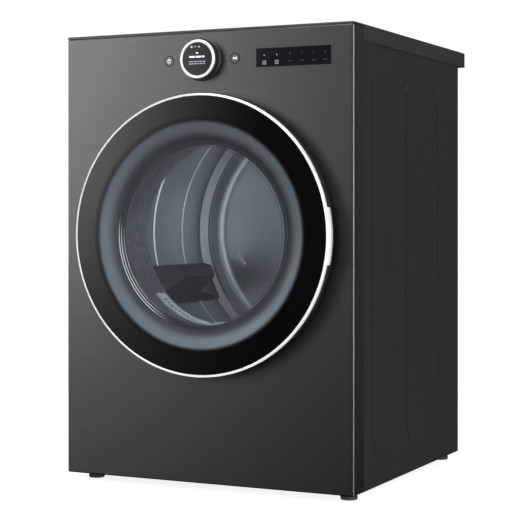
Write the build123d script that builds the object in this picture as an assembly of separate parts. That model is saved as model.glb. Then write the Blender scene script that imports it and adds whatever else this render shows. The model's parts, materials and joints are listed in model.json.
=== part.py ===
"""A full-size front-loading electric clothes dryer, as an assembly of separate pieces.

Every piece is drawn with y = 0 on the front panel's face, y growing towards the rear, x to the
right as seen from the front and z up from the floor. save() then moves it so that the origin is
on the floor, in the middle of the footprint. All sizes are in millimetres.
"""

import math
import os

from build123d import *

os.makedirs("parts", exist_ok=True)

# ------------------------------------------------------------------ driving sizes
# Cabinet
cabinet_width = 686.0
cabinet_height = 990.0
body_depth = 738.0  # front panel's face to the rear edge of the top cover
side_depth = 691.0  # front panel's face to the rear panel's outer face
foot_height = 18.0  # ground clearance under the base pan
sheet = 1.0  # painted steel sheet
front_box_depth = 58.0  # how far the front panel wraps round the sides
front_edge_radius = 5.0
lid_height = 36.0
lid_lip = 5.5  # the top cover's front lip, which sits on the front panel
lid_edge_radius = 4.0
side_inset = 2.0  # the side panels sit this much inside the front panel's width
rib_height = 1.5  # how far the stiffening ribs stand out of a side panel
running_gap = 0.3  # clearance between pieces that move past each other
shaft_clearance = 0.05  # radial running clearance of a shaft in its hole

# Door
door_z = 550.0
door_radius = 301.2
door_projection = 35.0  # front panel's face to the door's front face
door_gap = 1.5  # between the closed door's back and the front panel
trim_width = 4.8
trim_depth = 5.0
glass_thickness = 4.0
glass_setback = 1.0
window_border = 59.2  # the printed border round the clear part of the outer glass
bowl_rim_overlap = 6.0  # how far the bowl's rim stands outside the throat
bowl_clearance = 12.0  # gap from the bowl's mouth to the throat
bowl_taper = 30.0  # how much narrower the bowl's far end is than its mouth
bowl_depth = 58.0  # front panel's face to the far side of the bowl
bowl_wall = 4.0
handle_half_height = 59.0
handle_tab = 6.0
pocket_depth = 17.0
hinge_inset = 13.2  # the door's left edge to the hinge pin
hinge_y = -21.5
hinge_pin_radius = 2.95
hinge_knuckle_radius = 5.5
hinge_reach = 33.5  # from the pin to the end of the door's arm
hinge_ear_z = 30.0
hinge_ear_thickness = 6.0
hinge_pocket_half = 70.0
latch_inset = 39.2  # the door's right edge to the strike
strike_reach = 14.0

# Controls
dial_drop = 65.0  # top of the cabinet down to the dial's centre
dial_radius = 41.3
dial_face_radius = 35.6
dial_projection = 23.3
dial_base_radius = 46.0
dial_x = -5.3  # the dial and its two buttons stand a little left of the middle
button_spacing = 79.0  # from the dial's centre to each button's
button_radius = 11.5
display_left = 123.0
display_right = 293.0
display_drop = 21.5  # dial's centre down to the window's lower edge
display_height = 39.3

# Drum and air path
drum_radius = 318.0
drum_front = 97.0
drum_rear = 632.0
drum_lip_step = 39.0  # from the throat out to the drum's front lip
drum_tail_step = 17.0  # from the drum's wall in to its tail
throat_inset = 101.2  # from the door's edge in to the throat
throat_wall = 2.5
throat_front = 14.0
throat_rear = 112.0
bulkhead_y = 60.0
rear_wall_y = 649.0
lifter_height = 90.0
lifter_angle = 204.0
lifter_count = 3
roller_radius = 35.0
roller_width = 22.0
roller_y = 562.0
roller_angle = 55.0
roller_shaft_radius = 6.0
belt_y = 430.0
belt_width = 12.0
belt_thickness = 2.5
motor_x = 150.0
motor_z = 118.0
motor_radius = 60.0
motor_front = 225.0
motor_rear = 385.0
motor_shaft_radius = 6.0
pulley_radius = 9.5
idler_x = 88.0
idler_z = 124.0
idler_radius = 20.0
idler_pivot_x = 118.0
idler_pivot_z = 60.0
blower_radius = 90.0
blower_front = 118.0
blower_rear = 200.0
blower_wheel_radius = 72.0
blade_count = 24
exhaust_z = 95.0
exhaust_radius = 48.5
collar_radius = 50.0
collar_end = 735.0
filter_share = 0.61  # the lint filter's half width over the throat's radius
filter_front = 67.0
filter_rear = 90.5
filter_bottom = 170.0
heater_x = -235.0
heater_z = 105.0
heater_half = 50.0
foot_inset_x = 37.0
foot_front_y = 66.0
foot_rear_y = 662.0
foot_radius = 18.0
foot_stem_radius = 5.0

# ------------------------------------------------------------------ derived places
overall_depth = body_depth + door_projection
front_y = door_projection - overall_depth / 2  # where the front panel's face lies in the part's frame
half_width = cabinet_width / 2
side_face = half_width - side_inset
side_inner = side_face - sheet
lid_bottom = cabinet_height - lid_height
front_top = cabinet_height - lid_lip
door_back = -door_gap
glass_front = -(door_projection - glass_setback)
glass_back = glass_front + glass_thickness
drum_axis_z = door_z
throat_radius = door_radius - throat_inset
opening_radius = throat_radius + bowl_rim_overlap
bowl_rim_radius = opening_radius
bowl_mouth_radius = throat_radius - bowl_clearance
bowl_end_radius = bowl_mouth_radius - bowl_taper
window_radius = door_radius - window_border
hinge_x = hinge_inset - door_radius
latch_x = door_radius - latch_inset
drum_lip_radius = throat_radius + drum_lip_step
drum_tail_radius = drum_radius - drum_tail_step
lifter_crest = drum_radius - lifter_height
filter_half = filter_share * throat_radius
button_places = (dial_x - button_spacing, dial_x + button_spacing)
dial_z = cabinet_height - dial_drop
display_bottom = dial_z - display_drop
display_top = display_bottom + display_height
plate_half = side_inner - 5.0
foot_x = half_width - foot_inset_x
saved = []


# ------------------------------------------------------------------ helpers
def save(name, shape):
    """Writes one piece to its own STEP, moved into the part's frame."""
    placed = Pos(0, front_y, 0) * shape
    solids = placed.solids()
    piece = solids[0] if len(solids) == 1 else Compound(children=list(solids))
    piece.label = name
    export_step(piece, f"parts/{name}.step")
    saved.append(name)


def block(x0, x1, y0, y1, z0, z1):
    """A box between two corners."""
    return Pos((x0 + x1) / 2, (y0 + y1) / 2, (z0 + z1) / 2) * Box(x1 - x0, y1 - y0, z1 - z0)


def rod(x, y0, y1, z, radius):
    """A cylinder along y."""
    return Pos(x, (y0 + y1) / 2, z) * Rot(90, 0, 0) * Cylinder(radius, y1 - y0)


def post(x, y, z0, z1, radius):
    """A cylinder along z."""
    return Pos(x, y, (z0 + z1) / 2) * Cylinder(radius, z1 - z0)


def ring(x, z, r_in, r_out, y0, y1):
    """A tube along y."""
    return rod(x, y0, y1, z, r_out) - rod(x, y0 - 1, y1 + 1, z, r_in)


def turned(points, x=0.0, z=None):
    """A solid turned about a line along y: points are (radius, y)."""
    profile = make_face(Polyline(*points, close=True))
    return Pos(x, 0, drum_axis_z if z is None else z) * revolve(profile, Axis.Y)


def extruded_y(outline, y0, y1):
    """Extrudes an (x, z) outline along y."""
    face = make_face(Polyline(*[(px, y0, pz) for px, pz in outline], close=True))
    return extrude(face, y1 - y0, dir=(0, 1, 0))


def on_circle(radius, degrees, x=0.0, z=None):
    """A point (x, z) on a circle about the drum's axis, or about (x, z)."""
    angle = math.radians(degrees)
    centre_z = drum_axis_z if z is None else z
    return x + radius * math.cos(angle), centre_z + radius * math.sin(angle)


# ------------------------------------------------------------------ cabinet
def side_panel():
    """The right side panel, with three long raised ribs and a round knock-out."""
    panel_top = lid_bottom + 12
    panel_front = front_box_depth + 0.5
    panel_rear = side_depth - sheet - 0.2
    panel = block(side_inner, side_face, panel_front, panel_rear, foot_height, panel_top)
    fold = panel_front + sheet
    panel += block(side_inner - 14, side_inner, panel_front, fold, foot_height + 32, lid_bottom)
    rib_top = lid_bottom - 62
    # Each rib: front edge, rear edge, lower end.
    ribs = [(108.5, 245.0, 74.0), (319.0, 455.0, 74.0), (535.0, 650.0, 202.0)]
    for front, rear, low in ribs:
        panel += rib_block(front, rear, low, rib_top, 0, side_face - 0.2, side_face + rib_height)
        panel -= rib_block(front, rear, low, rib_top, sheet, side_inner - 1, side_face + rib_height - sheet)
    knockout_y, knockout_z, knockout_radius = 600.0, 92.0, 54.0
    disc = Pos(side_face, knockout_y, knockout_z) * Rot(0, 90, 0)
    panel -= disc * (Cylinder(knockout_radius, 1) - Cylinder(knockout_radius - 3, 1))
    return panel


def rib_block(front, rear, low, high, shrink, x0, x1):
    """A tall pad with a round lower end and rounded upper corners."""
    half = (rear - front) / 2 - shrink
    middle = (front + rear) / 2
    corner = 38.0
    base_z = low + half + shrink
    body = block(x0, x1, middle - half, middle + half, base_z, high - shrink)
    edges = body.edges().filter_by(Axis.X).sort_by(Axis.Z)[-2:]
    body = fillet(edges, corner - shrink)
    return body + Pos((x0 + x1) / 2, middle, base_z) * Rot(0, 90, 0) * Cylinder(half, x1 - x0)


def front_panel():
    """A shallow pressed box with the door opening and the holes for the controls."""
    top = front_top - 0.4
    box = block(-half_width, half_width, 0, front_box_depth, foot_height, top)
    box = fillet(box.edges().filter_by(Axis.Z).group_by(Axis.Y)[0], front_edge_radius)
    front_rim = box.faces().sort_by(Axis.Y)[0].edges().filter_by(Axis.X)
    box = fillet(front_rim, 3.0)
    inner = half_width - sheet
    inside = block(-inner, inner, sheet, front_box_depth + 1, foot_height + sheet, top - sheet)
    inside = fillet(inside.edges().filter_by(Axis.Z).group_by(Axis.Y)[0], front_edge_radius - sheet)
    flange = ring(0, door_z, opening_radius, opening_radius + sheet, 0, 12)
    panel = box - inside + flange - rod(0, -1, 20, door_z, opening_radius)
    panel -= rod(dial_x, -1, 5, dial_z, 30.0)
    for x in button_places:
        panel -= rod(x, -1, 5, dial_z, button_radius + running_gap)
    panel -= block(display_left, display_right, -1, 5, display_bottom, display_top)
    panel -= block(latch_x - 7, latch_x + 8, -1, 5, door_z - 14, door_z + 14)
    for side in (-1, 1):
        middle = door_z + side * (hinge_ear_z + hinge_ear_thickness / 2)
        panel -= block(hinge_x + 9, hinge_x + 24, -1, 5, middle - 5, middle + 5)
    return panel


def top_cover():
    """The lid: a pressed plate with skirts, open below, whose front lip sits on the front panel."""
    front = 1.0
    lid = block(-half_width, half_width, front, body_depth, lid_bottom, cabinet_height)
    lid = fillet(lid.edges().group_by(Axis.Z)[-1], lid_edge_radius)
    inner = half_width - sheet
    inside = block(-inner, inner, front + sheet, body_depth - sheet, lid_bottom - 1, cabinet_height - sheet)
    lid -= fillet(inside.edges().group_by(Axis.Z)[-1], lid_edge_radius - sheet)
    return lid - block(-half_width - 1, half_width + 1, 0, front_box_depth + 0.4, lid_bottom - 1, front_top)


def rear_panel():
    """The flat rear sheet, with its air, exhaust and wiring openings and a row of louvre slots."""
    y1 = side_depth
    panel = block(-side_face, side_face, y1 - sheet, y1, foot_height, lid_bottom + 12)
    panel -= rod(0, y1 - 5, y1 + 5, exhaust_z, collar_radius + 2)
    panel -= block(200, 260, y1 - 5, y1 + 5, 180, 230)
    for i in range(9):
        slot_z = 300 + i * 26
        for x0 in (120, 215):
            panel -= block(x0, x0 + 75, y1 - 5, y1 + 5, slot_z, slot_z + 6)
    return panel


def base_pan():
    """The tray under the machine, with turned-up edges and a stiff pad at each foot."""
    edge = side_inner - running_gap
    y0, y1 = front_box_depth + 1, side_depth - sheet - running_gap
    pan = block(-edge, edge, y0, y1, foot_height, foot_height + 26)
    pan -= block(-edge + sheet, edge - sheet, y0 + sheet, y1 - sheet, foot_height + sheet, foot_height + 30)
    for x in (-foot_x, foot_x):
        for y in (foot_front_y, foot_rear_y):
            pad = block(x - 17, x + 17, y - 17, y + 17, foot_height, foot_height + 12)
            pan += pad & block(-edge, edge, y0, y1, foot_height, foot_height + 12)
            pan -= post(x, y, 0, 60, foot_stem_radius + shaft_clearance)
    return pan


def foot(x, y):
    """A levelling foot: a rubber-shod disc on a screwed stem."""
    pad = post(x, y, 0, 9, foot_radius)
    pad = chamfer(pad.edges().group_by(Axis.Z)[0], 1.5)
    pad = fillet(pad.edges().group_by(Axis.Z)[-1], 3)
    hexagon = Pos(x, y, 9) * extrude(RegularPolygon(9.5, 6), foot_height - running_gap - 9)
    return pad + hexagon + post(x, y, foot_height - 1, foot_height + 36, foot_stem_radius)


def panel_screws():
    """The hexagon-head screws of the rear panel and its covers."""
    columns, rows = (-side_face + 14, side_face - 14), 5
    pitch = (lid_bottom - 80) / (rows - 1)
    places = [(x, 60 + row * pitch) for x in columns for row in range(rows)]
    places += [(x, lid_bottom - 20) for x in (-110, 110)]
    places += [(x, exhaust_z + 62) for x in (-46, 46)]
    screws = []
    for x, z in places:
        head = Pos(x, side_depth, z) * Rot(-90, 0, 0) * extrude(RegularPolygon(5, 6), 3.5)
        screws += (head + rod(x, side_depth, side_depth + 1.2, z, 7)).solids()
    return Compound(children=screws)


# ------------------------------------------------------------------ controls
def dial_ring():
    """The bright ring at the front of the dial."""
    front, back = -dial_projection, -dial_projection + 5
    return turned(
        [
            (dial_face_radius, back),
            (dial_face_radius, front + 1.2),
            (dial_face_radius + 1.2, front),
            (dial_radius - 1.5, front),
            (dial_radius, front + 1.5),
            (dial_radius, back),
        ],
        x=dial_x,
        z=dial_z,
    )


def dial_sleeve():
    """The turning grip behind the bright ring, with fine flutes."""
    front, back = -dial_projection + 5, -4 - running_gap
    sleeve = ring(dial_x, dial_z, dial_face_radius, dial_radius - 1, front, back)
    flute_count = 48
    for i in range(flute_count):
        x, z = on_circle(dial_radius - 1, 360 / flute_count * i, x=dial_x, z=dial_z)
        sleeve -= rod(x, front + 2, back + 1, z, 0.8)
    return sleeve


def dial_base():
    """The fixed dark collar that the dial turns on."""
    bore, spigot_radius, bearing_radius = 25.0, 29.6, 33.0
    edge = dial_base_radius
    collar = turned([(bore, 0), (bore, -4), (edge - 2, -4), (edge, -2), (edge, 0)], x=dial_x, z=dial_z)
    collar += ring(dial_x, dial_z, bore, spigot_radius, -1, 9)
    return collar + ring(dial_x, dial_z, bore, bearing_radius, -9, -4)


def dial_display():
    """The fixed round screen in the middle of the dial, on its stalk."""
    front = -dial_projection + 1.6
    face_radius = dial_face_radius - running_gap
    stalk, end = 18.0, 38.0
    face = [(0, front), (face_radius, front), (face_radius, front + 6), (stalk, front + 9)]
    return turned(face + [(stalk, end), (0, end)], x=dial_x, z=dial_z)


def button(x):
    """A round push button, level with the panel, on a square stem."""
    cap = rod(x, -0.6, 4, dial_z, button_radius)
    cap = fillet(cap.edges().group_by(Axis.Y)[0], 0.5)
    return cap + block(x - 3, x + 3, 4, 10, dial_z - 3, dial_z + 3)


def display_window():
    """The black glass strip over the touch keys."""
    gap = 0.15
    return block(display_left + gap, display_right - gap, -0.4, 3, display_bottom + gap, display_top - gap)


def control_housing():
    """The plastic tray that carries the boards behind the front panel."""
    x0, x1, y0, y1, z0, z1 = -205, 318, 18, 55, dial_z - 37, dial_z + 43
    wall = 2.0
    tray = block(x0, x1, y0, y1, z0, z1)
    tray -= block(x0 + wall, x1 - wall, y0 - 1, y1 - wall, z0 + wall, z1 - wall)
    for x in (-190, -100, 100, 300):
        for z in (z0 + 12, z1 - 12):
            tray += rod(x, 26, y1 - 1, z, 4)
    return tray


def control_boards():
    """The main board with its relays and capacitors, and the touch-key board."""
    main = block(-180, 90, 43, 44.6, dial_z - 32.5, dial_z + 38.5)
    for x in (-190, -100, 100, 300):
        for z in (dial_z - 25, dial_z + 31):
            main -= rod(x, 40, 50, z, 5)
    for i in range(4):
        main += block(-165 + i * 26, -147 + i * 26, 28, 43, dial_z, dial_z + 27)
    for i in range(3):
        main += rod(-45, 26, 43, dial_z - 20 + i * 18, 7)
    main -= rod(dial_x, 20, 50, dial_z, 22)
    touch = block(display_left + 2, display_right - 2, 5, 6.6, display_bottom - 4, display_top + 4)
    touch += block(display_left + 20, display_left + 60, 6.6, 12, display_bottom + 4, display_top - 4)
    keys = [block(x - 6, x + 6, 12.5, 17, dial_z - 6, dial_z + 6) for x in button_places]
    return Compound(children=[s for piece in (main, touch, *keys) for s in piece.solids()])


# ------------------------------------------------------------------ door
def handle_zone(r_in, r_out, y0, y1, half_height, side=1):
    """The part of a door ring within half_height of the door's centre, on the right or the left."""
    band = ring(0, door_z, r_in, r_out, y0, y1)
    x0, x1 = sorted((side * 200, side * 340))
    return band & block(x0, x1, y0 - 1, y1 + 1, door_z - half_height, door_z + half_height)


def door_trim_ring():
    """The bright ring round the door's face, with a finger tab on the right."""
    front = -door_projection
    inner = door_radius - trim_width
    middle = front + trim_depth
    back = front + 2 * trim_depth
    trim = turned(
        [
            (inner, middle),
            (inner, front + 0.8),
            (inner + 0.8, front),
            (door_radius - 3, front),
            (door_radius, front + 3),
            (door_radius, back),
            (door_radius - 3.3, back),
            (door_radius - 3.3, middle),
        ]
    )
    tip = door_radius + handle_tab
    tab = handle_zone(door_radius - 3.3, tip, front + 1.5, back - 0.5, handle_half_height)
    return trim + tab - hinge_pocket()


def hinge_pocket():
    """The room in the door's left edge for the hinge."""
    return block(
        -door_radius - 20,
        hinge_x + 26,
        glass_back + running_gap,
        20,
        door_z - hinge_pocket_half,
        door_z + hinge_pocket_half,
    )


def door_glass():
    """The outer pane, slightly rounded at its edge."""
    edge = door_radius - trim_width - 0.1
    front = [(0, glass_front), (edge - 1, glass_front), (edge, glass_front + 1)]
    return turned(front + [(edge, glass_back), (0, glass_back)])


def door_shell():
    """The dark moulded ring that the door is built on, with the finger pocket and the hinge pocket."""
    side_radius = door_radius - 1.5
    lip_radius = door_radius - 3.8
    wall_in = door_radius - 10.5
    lip_back = -door_projection + 2 * trim_depth
    rim_front = door_back - 7.5
    shell = turned(
        [
            (side_radius, lip_back),
            (side_radius, door_back),
            (bowl_mouth_radius + 5, door_back),
            (bowl_mouth_radius + 5, rim_front),
            (bowl_rim_radius + 4, rim_front),
            (bowl_rim_radius + 4, door_back - 2.5),
            (wall_in, door_back - 2.5),
            (wall_in, glass_back),
            (lip_radius, glass_back),
            (lip_radius, lip_back),
        ]
    )
    floor = side_radius - pocket_depth
    shell += handle_zone(floor - 4, wall_in + 1, glass_back, door_back, handle_half_height + 5)
    shell -= handle_zone(floor, side_radius + 5, lip_back, door_back - 3, handle_half_height - 1)
    groove = gasket_ring(door_back - 1, door_back + 1)
    return shell - groove - hinge_pocket()


def gasket_ring(y0, y1):
    """The ring that the gasket and its groove share."""
    return ring(0, door_z, bowl_rim_radius + 8, bowl_rim_radius + 14, y0, y1)


def door_gasket():
    """The soft ring between the door's back and the front panel."""
    return gasket_ring(door_back - 1, -running_gap)


def door_inner_ring():
    """The smooth grey roll seen through the outer glass, from the pane down to the bowl's rim."""
    wall = 1.8
    outer = window_radius + 8
    inner = bowl_rim_radius - 3
    front = glass_back + 0.2
    back = door_back - 7.5 - bowl_wall - 0.2
    with BuildSketch() as section:
        with BuildLine():
            face = TangentArc((outer, front), (inner, back - 0.5), tangent=(-1, 0))
            rear = TangentArc((outer, front + wall), (inner + wall, back), tangent=(-1, 0))
            Line(face @ 0, rear @ 0)
            Line(face @ 1, rear @ 1)
        make_face()
    skirt = ring(0, 0, outer - 0.5, outer + wall, front, door_back - 2.5)
    return Pos(0, 0, door_z) * (revolve(section.sketch, Axis.Y) + skirt)


def door_bowl():
    """The deep clear bowl that pushes the laundry back into the drum."""
    rim_back = door_back - 7.5
    rim_front = rim_back - bowl_wall
    mouth = bowl_mouth_radius
    end = bowl_end_radius
    depth = bowl_depth
    wall = bowl_wall
    bend = 24.0
    with BuildSketch() as section:
        with BuildLine():
            outer = FilletPolyline(
                (bowl_rim_radius, rim_front),
                (bowl_rim_radius, rim_back),
                (mouth, rim_back),
                (end, depth),
                (0, depth),
                radius=[0.5, 6.0, bend],
            )
            inner = FilletPolyline(
                (bowl_rim_radius, rim_front),
                (mouth - wall, rim_front),
                (end - wall, depth - wall),
                (0, depth - wall),
                radius=[6.0 + wall, bend - wall],
            )
            Line((0, depth), (0, depth - wall))
        make_face()
    return Pos(0, 0, door_z) * revolve(section.sketch, Axis.Y)


def door_strike():
    """The hook on the door's back that the catch holds."""
    hook = block(latch_x - 1.5, latch_x + 1.5, door_back, strike_reach, door_z - 9, door_z + 9)
    hook -= block(latch_x - 3, latch_x + 3, 5, 9, door_z - 5, door_z + 5)
    return hook + block(latch_x - 6, latch_x + 6, door_back, 0.8, door_z - 12, door_z + 12)


def hinge_arm():
    """The door's half of the hinge: a knuckle on the pin and an arm screwed inside the shell."""
    half = hinge_ear_z - running_gap
    knuckle = post(hinge_x, hinge_y, door_z - half, door_z + half, hinge_knuckle_radius)
    z0, z1 = door_z - half, door_z + half
    arm = block(hinge_x, hinge_x + hinge_reach, hinge_y - 2, hinge_y + 2, z0, z1)
    foot_block = block(hinge_x + 20, hinge_x + hinge_reach, hinge_y, door_back - 2.5, z0, z1)
    bore = post(hinge_x, hinge_y, door_z - 60, door_z + 60, hinge_pin_radius + shaft_clearance)
    return knuckle + arm + foot_block - bore


def hinge_bracket():
    """The cabinet's half of the hinge: a plate inside the front panel with two ears."""
    plate = block(hinge_x - 12, hinge_x + 48, sheet, sheet + 3, door_z - 60, door_z + 60)
    ears = []
    for side in (-1, 1):
        z0, z1 = sorted((door_z + side * hinge_ear_z, door_z + side * (hinge_ear_z + hinge_ear_thickness)))
        outline = [
            (hinge_x, hinge_y - hinge_knuckle_radius),
            (hinge_x + 14, hinge_y - hinge_knuckle_radius),
            (hinge_x + 22, hinge_y + 4),
            (hinge_x + 22, sheet + 1),
            (hinge_x + 11, sheet + 1),
            (hinge_x + 11, hinge_y + hinge_knuckle_radius),
            (hinge_x, hinge_y + hinge_knuckle_radius),
        ]
        face = make_face(Polyline(*[(px, py, z0) for px, py in outline], close=True))
        eye = post(hinge_x, hinge_y, z0, z1, hinge_knuckle_radius)
        ears.append(extrude(face, z1 - z0, dir=(0, 0, 1)) + eye)
    pin_hole = post(hinge_x, hinge_y, door_z - 60, door_z + 60, hinge_pin_radius)
    return plate + ears[0] + ears[1] - pin_hole


def hinge_pin():
    """The headed pin through both ears and the knuckle."""
    reach = hinge_ear_z + hinge_ear_thickness
    pin = post(hinge_x, hinge_y, door_z - reach - 1, door_z + reach, hinge_pin_radius)
    return pin + post(hinge_x, hinge_y, door_z + reach, door_z + reach + 2, hinge_pin_radius + 1.8)


def door_catch():
    """The latch box behind the front panel, with the slot for the strike."""
    box = block(latch_x - 14, latch_x + 16, sheet, 30, door_z - 24, door_z + 24)
    box -= block(latch_x - 7, latch_x + 8, 0, 26, door_z - 14, door_z + 14)
    return box - block(latch_x - 3.5, latch_x + 3.5, 20, 40, door_z - 4.5, door_z + 4.5)


def door_switch():
    """The spring plunger that the strike presses."""
    start = strike_reach + 0.5
    head = block(latch_x - 5, latch_x + 5, start, start + 5, door_z - 8, door_z + 8)
    return head + block(latch_x - 3, latch_x + 3, start + 5, 38, door_z - 4, door_z + 4)


# ------------------------------------------------------------------ drum, bulkheads and belt
def drum_shell():
    """The open steel drum: a front lip, a sloping shoulder, a wall with rolled beads and a narrower tail."""
    lip, tail, wall = drum_lip_radius, drum_tail_radius, drum_radius
    front, rear = drum_front, drum_rear
    shoulder = 34.0
    outer = [(lip, front), (lip, front + 18.7), (wall, front + 18.7 + shoulder)]
    inner = [(lip - sheet, front), (lip - sheet, front + 19.4), (wall - sheet, front + 19.4 + shoulder)]
    outer += [(wall, rear - 34), (tail, rear - 20), (tail, rear)]
    inner += [(wall - sheet, rear - 34.6), (tail - sheet, rear - 20.6), (tail - sheet, rear)]
    shell = turned(outer + inner[::-1])
    for bead_y in (front + 90, front + 175, front + 260, rear - 130):
        crest, root = wall - 4, wall - 0.5
        shell += turned([(crest, bead_y - 5), (crest, bead_y + 5), (root, bead_y + 8), (root, bead_y - 8)])
    return shell


def vane(inset):
    """One lifter before it is placed, pointing along +x: inset makes the smaller shape of its hollow."""
    y0, y1 = drum_front + 100 + inset, drum_rear - 36 - inset
    base_half, crest_half = 48.0, 15.0
    front_slope, rear_slope = 60.0, 14.0
    base_r = drum_radius - 12
    crest = lifter_crest + inset
    rise = base_r - lifter_crest
    outline = [
        (crest, -crest_half + inset / 2),
        (base_r, -base_half + inset),
        (drum_radius, -base_half - 4 + inset),
        (drum_radius, base_half + 4 - inset),
        (base_r, base_half - inset),
        (crest, crest_half - inset / 2),
    ]
    body = extruded_y(outline, y0, y1)
    edges = body.edges().filter_by(Axis.Y).sort_by(Axis.X)[:2]
    body = fillet(edges, 12 - inset)
    for y, side, slope in ((y0, -1, front_slope), (y1, 1, rear_slope)):
        tilt = side * (90 - math.degrees(math.atan2(slope, rise)))
        body -= Pos(base_r, y, 0) * Rot(0, 0, tilt) * Pos(0, side * 60, 0) * Box(300, 120, 200)
    return body & rod(0, 0, 700, 0, drum_radius - sheet - 3.2)


def drum_lifters():
    """The three hollow plastic vanes that lift the laundry."""
    one = vane(0.0) - vane(2.5)
    vanes = []
    for i in range(lifter_count):
        angle = lifter_angle + i * 360 / lifter_count
        vanes += (Pos(0, 0, drum_axis_z) * Rot(0, -angle, 0) * one).solids()
    return Compound(children=vanes)


def lint_channel(grow=0.0):
    """The straight shaft that the lint filter drops into."""
    half = filter_half + 4 + grow
    return block(-half, half, filter_front - 2 - grow, filter_rear + 2 + grow, 100, throat_bottom(grow))


def throat_bottom(grow=0.0):
    """Just above the throat's lowest line, where the shaft's mouth is cut."""
    half = filter_half + 4 + grow
    return drum_axis_z - math.sqrt(throat_radius**2 - half**2) + 2


def front_bulkhead():
    """The wall in front of the drum, with the throat for the bowl and the drum's front bearing ring."""
    ring_out = drum_lip_radius - sheet - 4
    plate = block(-plate_half, plate_half, bulkhead_y, bulkhead_y + 1.2, drum_axis_z - 335, drum_axis_z + 334)
    plate -= rod(0, 0, 200, drum_axis_z, throat_radius)
    throat = ring(0, drum_axis_z, throat_radius, throat_radius + throat_wall, throat_front, throat_rear)
    bearing = ring(0, drum_axis_z, ring_out - 2.5, ring_out, bulkhead_y, throat_rear)
    web = ring(0, drum_axis_z, throat_radius, ring_out, throat_rear - 2.5, throat_rear)
    bulkhead = plate + throat + bearing + web
    mouth = lint_channel() & rod(0, 0, 200, drum_axis_z, throat_radius + throat_wall + 1)
    shaft = lint_channel(4.5) - rod(0, 0, 200, drum_axis_z, throat_radius + throat_wall + 0.5)
    return bulkhead - mouth - shaft


def rear_bulkhead():
    """The wall behind the drum: pressed sectors, an air inlet and the drum's rear bearing ring."""
    ring_out = drum_tail_radius - sheet - 4
    low, high = drum_axis_z - 350, drum_axis_z + 334
    plate = block(-plate_half, plate_half, rear_wall_y, rear_wall_y + 1.2, low, high)
    corner = 30.0
    with BuildSketch() as section:
        with BuildLine():
            Line((ring_out, rear_wall_y + 0.6), (ring_out, drum_rear - 20))
            Line((ring_out, drum_rear - 20), (ring_out - 1.5, drum_rear - 20))
            Line((ring_out - 1.5, drum_rear - 20), (ring_out - 1.5, rear_wall_y - corner))
            RadiusArc((ring_out - 1.5, rear_wall_y - corner), (ring_out - 1.5 - corner, rear_wall_y), -corner)
            Line((ring_out - 1.5 - corner, rear_wall_y), (ring_out - 1.5 - corner, rear_wall_y + 0.6))
            Line((ring_out - 1.5 - corner, rear_wall_y + 0.6), (ring_out, rear_wall_y + 0.6))
        make_face()
    bearing = Pos(0, 0, drum_axis_z) * revolve(section.sketch, Axis.Y)
    bulkhead = plate + bearing
    sector_count, sector_span = 5, 36.0
    pad = ring(0, 0, 62, 170, rear_wall_y - 2.5, rear_wall_y + 0.1)
    half_span = math.radians(sector_span / 2)
    wedge_x, wedge_z = 400 * math.cos(half_span), 400 * math.sin(half_span)
    wedge = extruded_y([(0, 0), (wedge_x, -wedge_z), (wedge_x, wedge_z)], rear_wall_y - 5, rear_wall_y + 5)
    sector = pad & wedge
    for i in range(sector_count):
        angle = lifter_angle - 0.5 + i * 360 / sector_count
        bulkhead += Pos(0, 0, drum_axis_z) * Rot(0, -angle, 0) * sector
    holes = []
    for row in range(4):
        for i in range(15):
            x, z = on_circle(196 + row * 14, 52 + i * 5.4)
            holes.append(rod(x, rear_wall_y - 5, rear_wall_y + 5, z, 3.6))
    return bulkhead - holes


def drum_felts():
    """The two felt rings that seal the turning drum against the bulkheads."""
    front_r = drum_lip_radius - sheet - 4
    rear_r = drum_tail_radius - sheet - 4
    front = ring(0, drum_axis_z, front_r, front_r + 3.7, 104, 110)
    rear = ring(0, drum_axis_z, rear_r, rear_r + 3.7, drum_rear - 14, drum_rear - 4)
    return Compound(children=front.solids() + rear.solids())


def drum_glides():
    """The two low-friction pads that carry the drum's front lip."""
    front_r = drum_lip_radius - sheet - 4
    band = ring(0, drum_axis_z, front_r, front_r + 3.7, 98, 103.5)
    pads = []
    for middle in (60, 120):
        x, z = on_circle(front_r, middle)
        pads += (band & block(x - 26, x + 26, 90, 110, z - 40, z + 40)).solids()
    return Compound(children=pads)


def roller_place(side):
    """Where a roller's axis is, as (x, z)."""
    reach = drum_radius + roller_radius + running_gap
    angle = math.radians(roller_angle)
    return side * reach * math.cos(angle), drum_axis_z - reach * math.sin(angle)


def roller(side):
    """A drum roller: a grooved tyre on a spoked hub."""
    x, z = roller_place(side)
    half = roller_width / 2
    wheel = turned(
        [
            (roller_shaft_radius + shaft_clearance, roller_y - half),
            (12, roller_y - half),
            (12, roller_y - half + 4),
            (roller_radius - 9, roller_y - half + 4),
            (roller_radius - 9, roller_y - half),
            (roller_radius - 1, roller_y - half),
            (roller_radius, roller_y - half + 1),
            (roller_radius, roller_y + half - 1),
            (roller_radius - 1, roller_y + half),
            (roller_radius - 9, roller_y + half),
            (roller_radius - 9, roller_y + half - 4),
            (12, roller_y + half - 4),
            (12, roller_y + half),
            (roller_shaft_radius + shaft_clearance, roller_y + half),
        ],
        x=x,
        z=z,
    )
    for i in range(6):
        hole_x, hole_z = on_circle(19, i * 60, x=x, z=z)
        wheel -= rod(hole_x, roller_y - half, roller_y + half, hole_z, 4.5)
    return wheel


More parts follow.
